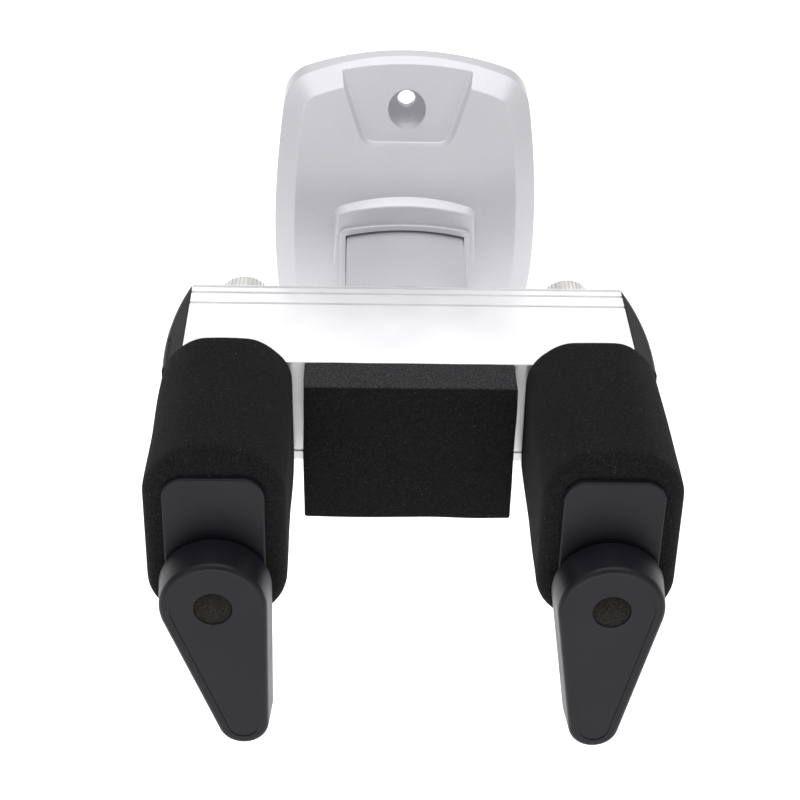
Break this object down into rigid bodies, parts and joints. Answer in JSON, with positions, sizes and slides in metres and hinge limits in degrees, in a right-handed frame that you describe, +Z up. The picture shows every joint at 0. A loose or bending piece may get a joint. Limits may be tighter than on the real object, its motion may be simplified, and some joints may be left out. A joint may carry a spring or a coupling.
{
  "type": "padded twin-arm wall cradle",
  "caption": "Wall-mounted cradle: cast plate and neck, aluminium crossbar, foam-sleeved telescoping arms with swivelling end levers, and a foam bumper between the arms.",
  "frame": {"origin": "on the wall, in the middle of the wall plate's back", "axes": "+Y into the wall, +X along the crossbar to the right as seen from the room, +Z up; the arms point to -Y"},
  "size_m": [0.1624, 0.2083, 0.149],
  "materials": {
    "silver_paint": "satin, fine metallic fleck",
    "satin_aluminium": "satin anodised",
    "cast_aluminium": "as cast",
    "knob_metal": "fine knurl",
    "charcoal_plastic": "fine satin texture",
    "black_foam": "closed-cell foam",
    "pad_rubber": "smooth",
    "nylon": "natural",
    "zinc_steel": "zinc plated"
  },
  "bodies": {
    "frame": {"wall_plate": "silver_paint", "wall_pad": "pad_rubber", "neck": "silver_paint", "neck_flange_screws": "zinc_steel", "crossbar": "satin_aluminium", "bar_nut_plate": "zinc_steel", "bar_screws": "zinc_steel", "bumper_foam": "black_foam", "left_knob_nut": "zinc_steel", "right_knob_nut": "zinc_steel"},
    "left_arm": {"left_arm_bracket": "cast_aluminium", "left_arm_outer_shell": "charcoal_plastic", "left_arm_inner_shell": "charcoal_plastic", "left_shell_screws": "zinc_steel", "left_foam_sleeve": "black_foam", "left_lever_screw": "zinc_steel", "left_lever_washer": "nylon"},
    "left_lever": {"left_lever": "charcoal_plastic", "left_lever_plug": "black_foam"},
    "left_pad": {"left_knob_pad": "nylon"},
    "left_knob": {"left_knob_head": "knob_metal", "left_knob_stud": "zinc_steel"},
    "right_arm": {"right_arm_bracket": "cast_aluminium", "right_arm_outer_shell": "charcoal_plastic", "right_arm_inner_shell": "charcoal_plastic", "right_shell_screws": "zinc_steel", "right_foam_sleeve": "black_foam", "right_lever_screw": "zinc_steel", "right_lever_washer": "nylon"},
    "right_lever": {"right_lever": "charcoal_plastic", "right_lever_plug": "black_foam"},
    "right_pad": {"right_knob_pad": "nylon"},
    "right_knob": {"right_knob_head": "knob_metal", "right_knob_stud": "zinc_steel"}
  },
  "joints": [
    {"name": "left_arm_slide", "type": "slide", "parent": "frame", "child": "left_arm", "axis": [-1, 0, 0], "range_m": [0, 0.04]},
    {"name": "left_lever_turn", "type": "hinge", "parent": "left_arm", "child": "left_lever", "pos_m": [-0.0594, -0.202, -0.03], "axis": [0, 1, 0], "continuous": true},
    {"name": "left_pad_slide", "type": "slide", "parent": "frame", "child": "left_pad", "axis": [0, 1, 0], "range_m": [0, 0.00051]},
    {"name": "left_knob_turn", "type": "hinge", "parent": "left_pad", "child": "left_knob", "pos_m": [-0.0575, -0.0634, -0.0082], "axis": [0, 1, 0], "range_deg": [0, 180]},
    {"name": "right_arm_slide", "type": "slide", "parent": "frame", "child": "right_arm", "axis": [1, 0, 0], "range_m": [0, 0.04]},
    {"name": "right_lever_turn", "type": "hinge", "parent": "right_arm", "child": "right_lever", "pos_m": [0.0594, -0.202, -0.03], "axis": [0, 1, 0], "continuous": true},
    {"name": "right_pad_slide", "type": "slide", "parent": "frame", "child": "right_pad", "axis": [0, 1, 0], "range_m": [0, 0.00051]},
    {"name": "right_knob_turn", "type": "hinge", "parent": "right_pad", "child": "right_knob", "pos_m": [0.0575, -0.0634, -0.0082], "axis": [0, 1, 0], "range_deg": [0, 180]}
  ],
  "couplings": [
    {"joint": "left_pad_slide", "follows": "left_knob_turn", "m_per_rad": 0.00015915},
    {"joint": "right_pad_slide", "follows": "right_knob_turn", "m_per_rad": 0.00015915}
  ]
}
